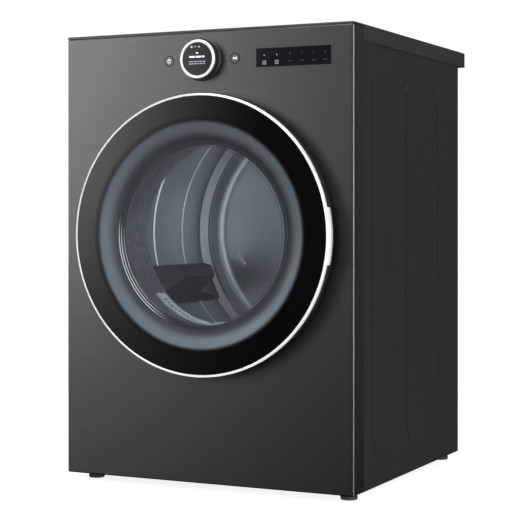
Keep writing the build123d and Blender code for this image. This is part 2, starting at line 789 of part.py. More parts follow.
def roller_shafts():
    """The two fixed axles, each with a shoulder and a retaining clip."""
    axles = []
    for side in (-1, 1):
        x, z = roller_place(side)
        start = roller_y - roller_width / 2 - 6
        axle = rod(x, start, rear_wall_y, z, roller_shaft_radius)
        axle += rod(x, roller_y + roller_width / 2 + 1, rear_wall_y, z, roller_shaft_radius + 3)
        axle += ring(x, z, roller_shaft_radius - 1, roller_shaft_radius + 4, start + 2, start + 3.2)
        axles += axle.solids()
    return Compound(children=axles)


def tangent(a, b):
    """The end points of the straight belt run from pulley a to pulley b: each is (x, z, radius, sense)."""
    ax, az, ar, asense = a
    bx, bz, br, bsense = b
    dx, dz = bx - ax, bz - az
    distance = math.hypot(dx, dz)
    base = math.atan2(dz, dx)
    lean = math.asin((asense * ar - bsense * br) / distance)
    normal = base + lean - math.pi / 2
    nx, nz = math.cos(normal), math.sin(normal)
    return (ax + asense * ar * nx, az + asense * ar * nz), (bx + bsense * br * nx, bz + bsense * br * nz)


def belt_face(offset):
    """The area inside a belt line that runs offset outside the pulleys' working radii."""
    y0 = belt_y - belt_width / 2
    pulleys = [
        (0.0, drum_axis_z, drum_radius + running_gap + offset, 1),
        (idler_x, idler_z, idler_radius + running_gap + belt_thickness - offset, -1),
        (motor_x, motor_z, pulley_radius + running_gap + offset, 1),
    ]
    runs = [tangent(pulleys[i], pulleys[(i + 1) % 3]) for i in range(3)]
    edges = []
    for i, (x, z, radius, sense) in enumerate(pulleys):
        start, end = runs[i - 1][1], runs[i][0]
        a0 = math.atan2(start[1] - z, start[0] - x)
        a1 = math.atan2(end[1] - z, end[0] - x)
        sweep_angle = (a1 - a0) * sense % (2 * math.pi) * sense
        middle = a0 + sweep_angle / 2
        bend = (x + radius * math.cos(middle), y0, z + radius * math.sin(middle))
        edges.append(ThreePointArc((start[0], y0, start[1]), bend, (end[0], y0, end[1])))
        far = runs[i][1]
        edges.append(Line((end[0], y0, end[1]), (far[0], y0, far[1])))
    return make_face(Wire(edges))


def drum_belt():
    """The long ribbed belt round the drum, over the motor pulley and under the idler."""
    outer = extrude(belt_face(belt_thickness), belt_width, dir=(0, 1, 0))
    inner = extrude(belt_face(0.0), belt_width, dir=(0, 1, 0))
    return outer - inner


# ------------------------------------------------------------------ drive and air path
def motor_body():
    """The motor's can, its end shields and its mounting feet."""
    can = rod(motor_x, motor_front + 10, motor_rear - 10, motor_z, motor_radius)
    for y0, y1 in ((motor_front, motor_front + 10), (motor_rear - 10, motor_rear)):
        can += rod(motor_x, y0, y1, motor_z, motor_radius - 8)
    for y in (motor_front + 30, motor_rear - 50):
        can += block(motor_x - 55, motor_x + 55, y, y + 20, foot_height + sheet + 0.2, motor_z - 20)
        can += ring(motor_x, motor_z, motor_radius - 2, motor_radius + 4, y, y + 20)
    can -= rod(motor_x, motor_front + 10, motor_rear - 10, motor_z, motor_radius - 12)
    return can - rod(motor_x, motor_front - 5, motor_rear + 5, motor_z, motor_shaft_radius + shaft_clearance)


def motor_shaft():
    """The rotor's shaft with the belt pulley at its rear end."""
    start, end = blower_front + 10, belt_y + 14
    shaft = rod(motor_x, start, end, motor_z, motor_shaft_radius)
    half = belt_width / 2
    pulley = turned(
        [
            (0, belt_y - half - 5),
            (pulley_radius + 3.5, belt_y - half - 5),
            (pulley_radius + 3.5, belt_y - half - 2),
            (pulley_radius, belt_y - half - 1),
            (pulley_radius, belt_y + half + 1),
            (pulley_radius + 3.5, belt_y + half + 2),
            (pulley_radius + 3.5, belt_y + half + 4),
            (0, belt_y + half + 4),
        ],
        x=motor_x,
        z=motor_z,
    )
    return shaft + pulley


def blower_wheel():
    """The fan: a back plate, a hub and a ring of blades."""
    y0, y1 = blower_front + 10, blower_rear - 12
    radius = blower_wheel_radius
    wheel = rod(motor_x, y1 - 3, y1, motor_z, radius) + rod(motor_x, y0 + 20, y1, motor_z, 16)
    wheel += ring(motor_x, motor_z, radius - 8, radius, y0, y0 + 3)
    for i in range(blade_count):
        angle = i * 360 / blade_count
        blade = Pos(motor_x, 0, motor_z) * Rot(0, -angle, 0) * Pos(radius - 10, 0, 0) * Rot(0, 28, 0)
        wheel += blade * block(-9, 9, y0 + 1, y1 - 1, -0.9, 0.9)
    wheel = wheel & rod(motor_x, y0, y1, motor_z, radius)
    return wheel - rod(motor_x, y0 - 5, y1 + 5, motor_z, motor_shaft_radius)


def blower_housing():
    """The scroll round the fan, open in front to the lint duct and to the left to the exhaust duct."""
    wall = 2.0
    y0, y1 = blower_front + 0.2, blower_rear
    left = exhaust_radius + 4
    outer = rod(motor_x, y0, y1, motor_z, blower_radius)
    outer += block(left, motor_x, y0, y1, motor_z, motor_z + blower_radius)
    inner = rod(motor_x, y0 + wall, y1 - wall, motor_z, blower_radius - wall)
    inner += block(left - 1, motor_x, y0 + wall, y1 - wall, motor_z + wall, motor_z + blower_radius - wall)
    housing = outer - inner - rod(motor_x, y0 - 1, y0 + 10, motor_z, 58)
    return housing - rod(motor_x, y1 - 10, y1 + 10, motor_z, motor_shaft_radius + 3)


def lint_duct():
    """The duct from the lint filter down to the fan."""
    wall = 2.0
    half = filter_half + 4
    y0, y1 = filter_front - 2, filter_rear + 2
    back = blower_front - wall
    left, right = motor_x - 90, motor_x + 90
    low = foot_height + 12
    outer = block(-half - wall, half + wall, y0 - wall, y1 + wall, 160, throat_bottom())
    outer += block(left, right, y0 - wall, back + wall, low, 205)
    inner = block(-half, half, y0, y1, 160 + wall, throat_bottom() + 5)
    inner += block(left + wall, right - wall, y0, back, low + wall, 205 - wall)
    clear_of_throat = rod(0, 0, 200, drum_axis_z, throat_radius + throat_wall + running_gap)
    return outer - inner - clear_of_throat - rod(motor_x, back - 5, back + 5, motor_z, 58)


def lint_filter_frame():
    """The pull-out filter's frame, with its curved cap and finger slots."""
    y0, y1 = filter_front, filter_rear
    top = drum_axis_z - throat_radius + 30
    frame = block(-filter_half, filter_half, y0, y1, filter_bottom, top)
    frame -= block(-filter_half + 5, filter_half - 5, y0 + 3, y1 - 3, filter_bottom + 5, top + 5)
    for x0 in (-filter_half + 9, -37, 41):
        frame -= block(x0, x0 + filter_half - 48, y0 - 1, y1 + 1, filter_bottom + 9, top - 45)
    frame -= rod(0, 0, 200, drum_axis_z, throat_radius - 2.4)
    cap = ring(0, drum_axis_z, throat_radius - 2.4, throat_radius - 0.3, y0 - 7, y1 + 7)
    cap = cap & block(-filter_half - 26, filter_half + 26, 0, 200, 300, 440)
    for i in range(8):
        x, z = on_circle(throat_radius, 227 + i * 3.1)
        slot = Pos(x, (y0 + y1) / 2, z) * Rot(0, -(227 + i * 3.1), 0) * Box(14, 15, 6)
        cap -= slot
    grip = ring(0, drum_axis_z, throat_radius - 9, throat_radius - 2.4, y0 + 3, y0 + 6)
    grip = grip & block(-10, 75, 0, 200, 300, 420)
    return frame + cap + grip


def lint_filter_mesh():
    """The two fine screens held in the filter's frame."""
    top = drum_axis_z - throat_radius - 16
    screens = [
        block(-filter_half + 5, filter_half - 5, y, y + 0.6, filter_bottom + 5, top)
        for y in (filter_front + 3, filter_rear - 3.6)
    ]
    return Compound(children=[s for screen in screens for s in screen.solids()])


def exhaust_duct():
    """The duct from the fan to the collar on the back, where a flexible hose is clamped."""
    wall = 1.5
    half = exhaust_radius + 3.5
    y0, y1 = blower_front + 0.2, blower_rear
    top = motor_z + blower_radius
    box = block(-half, half, y0, y1, exhaust_z - half, top)
    box -= block(-half + wall, half + 1, y0 + wall, y1 - wall, motor_z + 2, top - wall)
    box -= block(-half + wall, half - wall, y0 + wall, y1 - wall, exhaust_z - half + wall, top - wall)
    pipe = rod(0, y1 - wall, side_depth, exhaust_z, exhaust_radius)
    pipe += rod(0, side_depth, side_depth + 1.5, exhaust_z, exhaust_radius + 11)
    pipe += rod(0, side_depth, collar_end, exhaust_z, collar_radius)
    return box + pipe - rod(0, y1 - 2 * wall, collar_end + 1, exhaust_z, exhaust_radius - wall)


def idler_arm():
    """The sprung arm that holds the idler, with its axle."""
    y0, y1 = belt_y + belt_width / 2 + 4, belt_y + belt_width / 2 + 7
    dx, dz = idler_x - idler_pivot_x, idler_z - idler_pivot_z
    length = math.hypot(dx, dz)
    angle = math.degrees(math.atan2(dz, dx))
    arm = Pos(idler_pivot_x, 0, idler_pivot_z) * Rot(0, -angle, 0) * block(0, length, y0, y1, -9, 9)
    arm += rod(idler_pivot_x, y0, y1, idler_pivot_z, 12) + rod(idler_x, y0, y1, idler_z, 10)
    arm += rod(idler_x, belt_y - belt_width / 2 - 3, y1, idler_z, 4)
    arm += block(idler_pivot_x - 34, idler_pivot_x, y0, y1, idler_pivot_z - 8, idler_pivot_z + 2)
    return arm - rod(idler_pivot_x, y0 - 5, y1 + 5, idler_pivot_z, 5 + shaft_clearance)


def idler_post():
    """The fixed post that the arm turns on, standing on the base."""
    y0, y1 = belt_y + belt_width / 2, belt_y + belt_width / 2 + 26
    pin = rod(idler_pivot_x, y0, y1, idler_pivot_z, 5)
    web = block(idler_pivot_x - 12, idler_pivot_x + 12, y1 - 4, y1, foot_height + sheet, idler_pivot_z + 10)
    low, high = foot_height + sheet, foot_height + 4
    flange = block(idler_pivot_x - 20, idler_pivot_x + 20, y1 - 4, y1 + 20, low, high)
    return pin + web + flange


def idler_pulley():
    """The small flanged wheel that presses on the belt's back."""
    half = belt_width / 2
    bore = 4 + shaft_clearance
    return turned(
        [
            (bore, belt_y - half - 1.5),
            (idler_radius - 2, belt_y - half - 1.5),
            (idler_radius, belt_y - half - 0.8),
            (idler_radius, belt_y + half + 0.8),
            (idler_radius - 2, belt_y + half + 1.5),
            (bore, belt_y + half + 1.5),
        ],
        x=idler_x,
        z=idler_z,
    )


def idler_spring():
    """The coil spring from the arm's tail down to the base."""
    x = idler_pivot_x - 28
    y = belt_y + belt_width / 2 + 5.5
    low, high = foot_height + sheet + 1, idler_pivot_z - 9
    coil_radius, wire_radius, pitch = 5.0, 1.0, 4.0
    path = Pos(x, y, low) * Helix(pitch=pitch, height=high - low, radius=coil_radius)
    section = Plane(origin=path @ 0, z_dir=path % 0) * RegularPolygon(wire_radius, 8)
    return sweep(section, path, is_frenet=True)


def heater_housing():
    """The steel box round the heating element, open at the front and joined to the rear panel."""
    half = heater_half + 4
    y0, y1 = 330, rear_wall_y + 1.2
    inner = half - sheet
    body = block(heater_x - half, heater_x + half, y0, y1, heater_z - half, heater_z + half)
    left, right = heater_x - inner, heater_x + inner
    return body - block(left, right, y0 - 1, y1 + 1, heater_z - inner, heater_z + inner)


def heater_coil():
    """The heating element: a sheathed rod bent back and forth, on two ceramic carriers."""
    rod_radius = 3.2
    passes = 5
    pitch = 18.0
    y0, y1 = 380, 600
    pieces = []
    for i in range(passes):
        z = heater_z + (i - (passes - 1) / 2) * pitch
        pieces.append(rod(heater_x, y0, y1, z, rod_radius))
        if i + 1 < passes:
            end_y = y1 if i % 2 == 0 else y0
            half_turn = Pos(heater_x, end_y, z + pitch / 2) * Rot(0, 90, 0) * Torus(pitch / 2, rod_radius)
            keep_y = (end_y, end_y + 40) if i % 2 == 0 else (end_y - 40, end_y)
            keep = block(heater_x - 10, heater_x + 10, *keep_y, z - 10, z + pitch + 10)
            pieces.append(half_turn & keep)
    coil = pieces[0]
    for piece in pieces[1:]:
        coil += piece
    for y in (430, 540):
        carrier = heater_half + 2.8
        coil += block(heater_x - 6, heater_x + 6, y, y + 8, heater_z - carrier, heater_z + carrier)
    return coil


def rear_air_duct():
    """The pressed trough behind the rear bulkhead that takes hot air from the heater up to the drum."""
    depth = 36.0
    left, right, turn = heater_x - 62, 165.0, heater_x + 62
    low, step, top = heater_z - 62, drum_axis_z + 140, drum_axis_z + 295
    wall = 1.2
    y0 = rear_wall_y + wall
    y1 = y0 + depth
    outline = [(left, low), (turn, low), (turn, step), (right, step), (right, top), (left, top)]
    duct = extruded_y(outline, y0, y1)
    duct = fillet(duct.edges().filter_by(Axis.Y), 14)
    inner = [
        (left + wall, low + wall),
        (turn - wall, low + wall),
        (turn - wall, step + wall),
        (right - wall, step + wall),
        (right - wall, top - wall),
        (left + wall, top - wall),
    ]
    hollow = extruded_y(inner, y0 - 1, y1 - wall)
    hollow = fillet(hollow.edges().filter_by(Axis.Y), 14 - wall)
    plate_low = drum_axis_z - 350
    hollow -= block(left - 5, turn + 5, y0 - 5, y0 + wall, low - 5, plate_low + 12)
    opening = heater_half + 4 + running_gap
    left, right = heater_x - opening, heater_x + opening
    hollow += block(left, right, y0 - 5, y0 + 5, heater_z - opening, heater_z + opening)
    return duct - hollow


def terminal_block():
    """The three-pole block that the supply leads are screwed to."""
    y1 = side_depth - sheet
    body = block(198, 262, y1 - 22, y1 - 2, 186, 224)
    for i in range(3):
        x = 209 + i * 21
        body += rod(x, y1 - 2, y1 + 4, 205, 4.5)
        body += block(x - 8, x + 8, y1 - 4, y1 - 1, 190, 220)
    return body + block(190, 270, y1 - 6, y1, 176, 180) + block(190, 270, y1 - 22, y1 - 2, 182, 186)


def terminal_cover():
    """The box over the wiring, with the hole that a supply cord's strain relief is clamped in."""
    y0, y1 = side_depth, side_depth + 34
    wall = 1.5
    box = block(182, 278, y0, y1, 140, 250)
    box = fillet(box.edges().filter_by(Axis.Z).group_by(Axis.Y)[-1], 5)
    box -= block(182 + wall, 278 - wall, y0 - 1, y1 - wall, 140 + wall, 250 - wall)
    box += block(172, 288, y0, y0 + wall, 250 - wall, 262)
    return box - post(230, y0 + 17, 130, 150, 14)


def drum_light():
    """The lamp's lens in the top of the throat."""
    lens = ring(0, drum_axis_z, throat_radius - 5, throat_radius - 0.2, 74, 96)
    return lens & block(-22, 22, 0, 200, drum_axis_z + throat_radius / 2, drum_axis_z + drum_radius)


# ------------------------------------------------------------------ writing the pieces
right_panel = side_panel()
save("right_side_panel", right_panel)
save("left_side_panel", mirror(right_panel, Plane.YZ))
save("front_panel", front_panel())
save("top_cover", top_cover())
save("rear_panel", rear_panel())
save("base_pan", base_pan())
for place, x, y in (
    ("front_left", -foot_x, foot_front_y),
    ("front_right", foot_x, foot_front_y),
    ("rear_left", -foot_x, foot_rear_y),
    ("rear_right", foot_x, foot_rear_y),
):
    save(f"foot_{place}", foot(x, y))
save("panel_screws", panel_screws())
save("dial_ring", dial_ring())
save("dial_sleeve", dial_sleeve())
save("dial_base", dial_base())
save("dial_display", dial_display())
save("power_button", button(button_places[0]))
save("start_button", button(button_places[1]))
save("display_window", display_window())
save("control_housing", control_housing())
save("control_boards", control_boards())
save("door_trim_ring", door_trim_ring())
save("door_glass", door_glass())
save("door_shell", door_shell())
save("door_gasket", door_gasket())
save("door_inner_ring", door_inner_ring())
save("door_bowl", door_bowl())
save("door_strike", door_strike())
save("hinge_arm", hinge_arm())
save("hinge_bracket", hinge_bracket())
save("hinge_pin", hinge_pin())
save("door_catch", door_catch())
save("door_switch", door_switch())
save("drum_shell", drum_shell())
save("drum_lifters", drum_lifters())
save("front_bulkhead", front_bulkhead())
save("rear_bulkhead", rear_bulkhead())
save("drum_felts", drum_felts())
save("drum_glides", drum_glides())
save("roller_left", roller(-1))
save("roller_right", roller(1))
save("roller_shafts", roller_shafts())
save("drum_belt", drum_belt())
save("motor_body", motor_body())
save("motor_shaft", motor_shaft())
save("blower_wheel", blower_wheel())
save("blower_housing", blower_housing())
save("lint_duct", lint_duct())
save("lint_filter_frame", lint_filter_frame())
save("lint_filter_mesh", lint_filter_mesh())
save("exhaust_duct", exhaust_duct())
save("idler_arm", idler_arm())
save("idler_post", idler_post())
save("idler_pulley", idler_pulley())
save("idler_spring", idler_spring())
save("heater_housing", heater_housing())
save("heater_coil", heater_coil())
save("rear_air_duct", rear_air_duct())
save("terminal_block", terminal_block())
save("terminal_cover", terminal_cover())
save("drum_light", drum_light())
print(len(saved), "pieces written")
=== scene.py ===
# %% [markdown]
# # Clothes dryer: the looks
#
# The dryer's working parts come from a CAD model, already assembled and in metres. This lesson gives every
# part its finish, adds the small printed and moulded pieces that a CAD model leaves out, and lights it as in
# a studio. Each finish is made of shader nodes only, so there are no image files to keep with it.

# %% Load the CAD model
import json
import math

import bpy
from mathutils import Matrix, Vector


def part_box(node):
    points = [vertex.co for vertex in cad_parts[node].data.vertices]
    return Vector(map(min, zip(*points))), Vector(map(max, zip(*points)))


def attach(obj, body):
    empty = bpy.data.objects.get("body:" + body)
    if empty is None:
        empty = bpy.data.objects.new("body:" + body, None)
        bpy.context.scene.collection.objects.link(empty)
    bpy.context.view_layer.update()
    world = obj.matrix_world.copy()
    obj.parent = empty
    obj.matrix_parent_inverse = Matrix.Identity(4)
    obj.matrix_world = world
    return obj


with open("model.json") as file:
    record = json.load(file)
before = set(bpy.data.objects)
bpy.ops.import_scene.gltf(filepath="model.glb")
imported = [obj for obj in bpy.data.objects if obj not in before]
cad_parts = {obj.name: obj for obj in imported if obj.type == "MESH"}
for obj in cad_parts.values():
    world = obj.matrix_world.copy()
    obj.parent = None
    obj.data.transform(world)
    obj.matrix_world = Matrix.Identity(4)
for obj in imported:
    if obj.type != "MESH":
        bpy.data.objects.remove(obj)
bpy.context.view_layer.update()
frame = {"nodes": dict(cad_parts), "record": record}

scene = bpy.context.scene
nodes = frame["nodes"]

# %% [markdown]
# ## Where things are
#
# The CAD model knows where each piece is, so the centre of the door, the face of the dial and the edges of
# the key window are all read from it. The marks and the shading are set out from those places, so if the
# CAD model changes, they follow.

# %% Places read from the CAD model
def middle(node):
    """The centre of a CAD node's box."""
    low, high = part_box(node)
    return (Vector(low) + Vector(high)) / 2


door_centre = middle("door_glass")
door_radius = (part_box("door_glass")[1][0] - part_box("door_glass")[0][0]) / 2
dial_centre = middle("dial_ring")
dial_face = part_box("dial_display")[0][1]
panel_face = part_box("front_panel")[0][1]
window_low = Vector(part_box("display_window")[0])
print("door centre", door_centre, "door radius", round(door_radius, 4))

# %% [markdown]
# ## The camera
#
# A long lens far away keeps the cabinet's upright edges upright. The camera stays level, and the picture is
# centred by shifting the lens instead of tilting it. A tilted camera would make the cabinet look wider at
# the top than at the bottom.

# %% Camera
camera_turn = math.radians(26.93)
camera_place = Vector((1.5188, panel_face - 2.9744, 0.5995))
camera_data = bpy.data.cameras.new("camera")
camera_data.sensor_width = 36.0
camera_data.lens = 105.9
camera_data.shift_x = 0.1096
camera_data.shift_y = -0.101
camera = bpy.data.objects.new("camera", camera_data)
camera.location = camera_place
camera.rotation_euler = (math.pi / 2, 0, camera_turn)
scene.collection.objects.link(camera)
scene.camera = camera
scene.view_settings.view_transform = "Standard"
print("camera at", camera_place)

# %% [markdown]
# ## Shader maths that reads like maths
#
# A material is a graph of small nodes, and a long formula quickly turns into a tangle of them. This class
# wraps one socket. Adding, multiplying or comparing wrapped sockets adds the Math nodes, so a mask can be
# written as `1 - stripes * 0.3`. The reflected forms, such as `__rsub__`, are what make a plain number on
# the left work.

# %% A socket that does arithmetic
class Wire:
    """One socket of a shader that Python's signs can work on."""

    def __init__(self, finish, socket):
        self.finish = finish
        self.socket = socket

    def math(self, operation, *others):
        sockets = {0: self, **dict(enumerate(others, 1))}
        node = self.finish.add("ShaderNodeMath", {"operation": operation}, sockets)
        return Wire(self.finish, node.outputs[0])

    def __add__(self, other):
        return self.math("ADD", other)

    def __sub__(self, other):
        return self.math("SUBTRACT", other)

    def __mul__(self, other):
        return self.math("MULTIPLY", other)

    def __pow__(self, other):
        return self.math("POWER", other)

    def __rsub__(self, other):
        return (self * -1.0) + other

    __radd__ = __add__
    __rmul__ = __mul__

    def below(self, limit):
        return self.math("LESS_THAN", limit)

    def most(self, other):
        return self.math("MAXIMUM", other)

    def wave(self):
        return self.math("SINE")

    def size(self):
        return self.math("ABSOLUTE")

    def fade(self, low, high, start=0.0, end=1.0):
        """Turns low..high smoothly into start..end, and holds the ends."""
        node = self.finish.add(
            "ShaderNodeMapRange",
            {"interpolation_type": "SMOOTHSTEP"},
            {"Value": self, "From Min": low, "From Max": high, "To Min": start, "To Max": end},
        )
        return Wire(self.finish, node.outputs["Result"])


# %% [markdown]
# ## A finish
#
# Every material below starts in the same way: an output, one Principled shader and the place of each point
# on the piece. Object coordinates are used, which are metres from the machine's origin here, so a brushing
# line or a speck of texture has the same size on every part.

# %% A finish and its nodes
class Finish:
    """One material and short ways to add nodes to it."""

    def __init__(self, name, **constants):
        self.material = bpy.data.materials.new(name)
        self.material.use_nodes = True
        self.tree = self.material.node_tree
        self.tree.nodes.clear()
        self.output = self.tree.nodes.new("ShaderNodeOutputMaterial")
        self.shader = self.add("ShaderNodeBsdfPrincipled", {}, constants)
        self.tree.links.new(self.shader.outputs[0], self.output.inputs["Surface"])
        place = self.add("ShaderNodeTexCoord", {}, {})
        self.place = Wire(self, place.outputs["Object"])

    def add(self, kind, settings, sockets):
        """Adds a node: its settings first, then its sockets' values or links."""
        node = self.tree.nodes.new(kind)
        for key, value in settings.items():
            setattr(node, key, value)
        for key, value in sockets.items():
            socket = node.inputs[key]
            if isinstance(value, Wire):
                self.tree.links.new(value.socket, socket)
            elif socket.type == "RGBA" and len(value) == 3:
                socket.default_value = (*value, 1.0)
            else:
                socket.default_value = value
        return node

    def split(self):
        """The x, y and z of each point, as three wires."""
        node = self.add("ShaderNodeSeparateXYZ", {}, {0: self.place})
        return [Wire(self, out) for out in node.outputs]

    def stretched(self, scale):
        """The place, stretched, for a pattern that runs one way."""
        node = self.add("ShaderNodeMapping", {}, {"Vector": self.place, "Scale": scale})
        return Wire(self, node.outputs[0])

    def noise(self, scale, detail=3.0, place=None, rough=0.5):
        sockets = {"Vector": place or self.place, "Scale": scale, "Detail": detail, "Roughness": rough}
        node = self.add("ShaderNodeTexNoise", {}, sockets)
        return Wire(self, node.outputs["Fac"])

    def cells(self, scale, feature="F1", output="Distance"):
        node = self.add("ShaderNodeTexVoronoi", {"feature": feature}, {"Vector": self.place, "Scale": scale})
        return Wire(self, node.outputs[output])

    def ring(self, centre):
        """The distance from a line along y through centre."""
        x, _, z = self.split()
        across, up = (x - centre.x), (z - centre.z)
        return (across * across + up * up) ** 0.5

    def blend(self, factor, first, second):
        """One colour to another."""
        node = self.add("ShaderNodeMix", {"data_type": "RGBA"}, {0: factor, 6: first, 7: second})
        return Wire(self, node.outputs[2])

    def feed(self, socket, value):
        self.tree.links.new(value.socket, self.shader.inputs[socket])

    def bump(self, height, depth, strength=1.0):
        node = self.add("ShaderNodeBump", {}, {"Height": height, "Distance": depth, "Strength": strength})
        self.feed("Normal", Wire(self, node.outputs[0]))


finishes = {}

# %% [markdown]
# ## Brushed metal
#
# Brushed steel is polished with a belt that runs one way, so it is covered in fine scratches, all parallel.
# Noise stretched a hundred times or more longer one way than the other gives those scratches. They change
# how rough the surface is and tilt it very slightly, and coarser bands among them darken its colour a
# little. The front panel is brushed across its width, and the drum round its circumference.

# %% Brushed steel
coarsest = 420.0  # the wider bands among the scratches, per metre


def brushed(name, colour, rough, stretch, line=1.0, clouds=2.5):
    """Metal with fine parallel scratches: stretch is the scale of the scratches along x, y and z."""
    finish = Finish(name, **{"Metallic": 1.0})
    coarse = [min(scale, coarsest) for scale in stretch]
    fine = finish.noise(1.0, 4.0, finish.stretched(stretch), 0.65)
    bands = finish.noise(1.0, 3.0, finish.stretched(coarse), 0.7)
    lines = fine * 0.6 + bands * 0.4
    broad = finish.noise(clouds, 2.0)
    shade = lines.fade(0.36, 0.64) * 0.42 * line + broad * 0.14
    finish.feed("Base Color", finish.blend(shade, colour, [c * 0.74 for c in colour]))
    finish.feed("Roughness", (lines - 0.5) * (0.16 * line) + (broad - 0.5) * 0.05 + rough)
    finish.bump(lines, 0.00004 * line)
    finishes[name] = finish
    return finish


brushed("front_steel", (0.158, 0.153, 0.154), 0.40, (9.0, 9.0, 1500.0))
button_colour = (0.175, 0.172, 0.173)
button = brushed("button_face", button_colour, 0.38, (9.0, 9.0, 1500.0))
brushed("bright_steel", (0.58, 0.58, 0.59), 0.30, (40.0, 40.0, 900.0))
brushed("zinc_screws", (0.55, 0.56, 0.58), 0.36, (300.0, 300.0, 300.0))
brushed("dial_grip", (0.42, 0.43, 0.45), 0.27, (20.0, 900.0, 20.0))
brushed("drum_steel", (0.60, 0.62, 0.64), 0.40, (7.0, 700.0, 7.0), 1.2)

# The dark ring round each button is painted shade, where the face dips at its edge.
button_x, _, button_z = button.split()
button_apart = dial_centre.x - middle("power_button").x
across = (button_x - dial_centre.x).size() - button_apart
up = button_z - middle("power_button").z
painted_button_rim_shade = ((across * across + up * up) ** 0.5).fade(0.0086, 0.0110)
button.feed("Base Color", button.blend(painted_button_rim_shade, button_colour, (0.012, 0.012, 0.013)))
print("brushed finishes made")

# %% [markdown]
# ## Bright plating
#
# The door's rim and the dial's ring are plated and polished. A perfect mirror looks false, so the roughness
# wanders a little, as it does where fingers and cloths have been.

# %% Bright plating
def plated(name, colour, rough, metal):
    finish = Finish(name, **{"Metallic": metal})
    smears = finish.noise(34.0, 4.0)
    specks = finish.noise(900.0, 2.0)
    finish.feed("Base Color", finish.blend(specks * 0.3, colour, [c * 0.93 for c in colour]))
    finish.feed("Roughness", smears * 0.08 + rough)
    finish.bump(specks, 0.000008)
    finishes[name] = finish


plated("bright_trim", (0.93, 0.935, 0.94), 0.30, 0.30)

# %% [markdown]
# ## Enamelled sheet
#
# The sides and the top are sprayed and baked. Sprayed enamel dries with a faint orange-peel ripple about
# two millimetres across, and that ripple is what makes a reflection on a cabinet's side look soft and
# alive.

# %% Enamel
def enamel(name, colour, rough, ripple=0.00003, coat=0.3):
    finish = Finish(name, **{"Coat Weight": coat, "Coat Roughness": 0.12})
    peel = finish.noise(430.0, 2.0)
    broad = finish.noise(5.0, 3.0)
    finish.feed("Base Color", finish.blend(broad, [c * 0.9 for c in colour], [c * 1.12 for c in colour]))
    finish.feed("Roughness", (broad - 0.5) * 0.08 + peel * 0.05 + rough)
    finish.bump(peel, ripple)
    finishes[name] = finish


enamel("side_paint", (0.019, 0.0190, 0.0195), 0.40)
enamel("top_paint", (0.032, 0.0325, 0.034), 0.36)
enamel("motor_paint", (0.06, 0.065, 0.07), 0.42)

# %% [markdown]
# ## Galvanised sheet
#
# The parts that nobody sees are left in plain zinc-coated steel. Zinc freezes in flat crystals, so the
# sheet has a patchwork of slightly different greys. A Voronoi texture gives each crystal its own shade.

# %% Zinc-coated sheet
def galvanised(name, colour):
    finish = Finish(name, **{"Metallic": 0.85})
    crystals = finish.cells(95.0, output="Color")
    shade = finish.add("ShaderNodeSeparateColor", {}, {0: crystals})
    patch = Wire(finish, shade.outputs[0])
    fine = finish.noise(260.0, 3.0)
    finish.feed("Base Color", finish.blend(patch * 0.6 + fine * 0.3, colour, [c * 0.7 for c in colour]))
    finish.feed("Roughness", patch * 0.14 + fine * 0.08 + 0.32)
    finish.bump(patch, 0.00002)
    finishes[name] = finish


galvanised("galvanised", (0.52, 0.53, 0.545))

# %% [markdown]
# ## Moulded plastic and rubber
#
# Moulds are spark-eroded, which prints a fine grain on the plastic. Small, shallow cells of noise do the
# same here. Gloss parts get a much finer, fainter grain, and rubber gets a rougher and dustier one.

# %% Plastic and rubber
def moulded(name, colour, rough, grain=0.00003, size=1400.0, dust=0.0):
    finish = Finish(name, **{"IOR": 1.48})
    texture = finish.noise(size, 3.0)
    broad = finish.noise(11.0, 4.0)
    pale = [c * (1.0 - dust) + 0.35 * dust for c in colour]
    finish.feed("Base Color", finish.blend(broad, [c * 0.88 for c in colour], pale))
    finish.feed("Roughness", texture * 0.12 + (broad - 0.5) * 0.1 + rough)
    finish.bump(texture, grain)
    finishes[name] = finish
    return finish


moulded("dark_plastic", (0.017, 0.0175, 0.019), 0.38)
moulded("grey_plastic", (0.42, 0.43, 0.44), 0.45)
moulded("door_plastic", (0.008, 0.008, 0.009), 0.16, 0.000006)
moulded("vane_plastic", (0.016, 0.018, 0.020), 0.30)
moulded("filter_frame", (0.74, 0.77, 0.80), 0.40)
moulded("fan_plastic", (0.05, 0.052, 0.056), 0.4)
moulded("glide", (0.80, 0.80, 0.77), 0.3, 0.00001)
moulded("foot_rubber", (0.016, 0.016, 0.0165), 0.6, 0.00008, 700.0, 0.12)
moulded("seal_rubber", (0.05, 0.05, 0.053), 0.6, 0.00005, 800.0, 0.05)
moulded("roller_rubber", (0.035, 0.035, 0.035), 0.65, 0.00008, 600.0, 0.1)

# %% [markdown]
# ## The ring inside the door, with painted shade
#
# Behind the clear part of the pane lies a rounded grey ring, and its colour is painted with shade. It is dark
# where it meets the printed border and dark again where it tucks behind the bowl, with a painted highlight on
# the crown between them and painted light at the bottom and lower left. The distance from the door's centre
# gives that slope of painted shade, and two thin darker lines of painted shade mark the steps moulded near
# its inner edge.

# %% Ring with painted shade
ring_outer = 0.252
ring_crown = 0.228
ring_inner = 0.205
crown_flat = 0.008  # how far out from the crown the palest tone reaches
step_outer = 0.216  # the moulded steps lie inside this radius
step_inner = 0.212
steps_per_metre = 2300.0
roll = Finish("inner_ring", **{"IOR": 1.48})
roll_at = roll.ring(door_centre)
painted_shade_rise = roll_at.fade(ring_inner, ring_crown, 0.30, 1.0)
painted_shade_fall = roll_at.fade(ring_crown + crown_flat, ring_outer, 1.0, 0.15)
steps = (roll_at * steps_per_metre).wave().fade(0.55, 1.0) * roll_at.fade(step_inner, step_outer, 1.0, 0.0)
roll_x, _, roll_z = roll.split()
# Painted light: the ring is brighter towards the bottom and lower left.
painted_light_side = (roll_x - door_centre.x) * -0.45 + (roll_z - door_centre.z) * -0.9
roll_grain = roll.noise(1400.0, 3.0)
roll_clouds = roll.noise(9.0, 3.0)
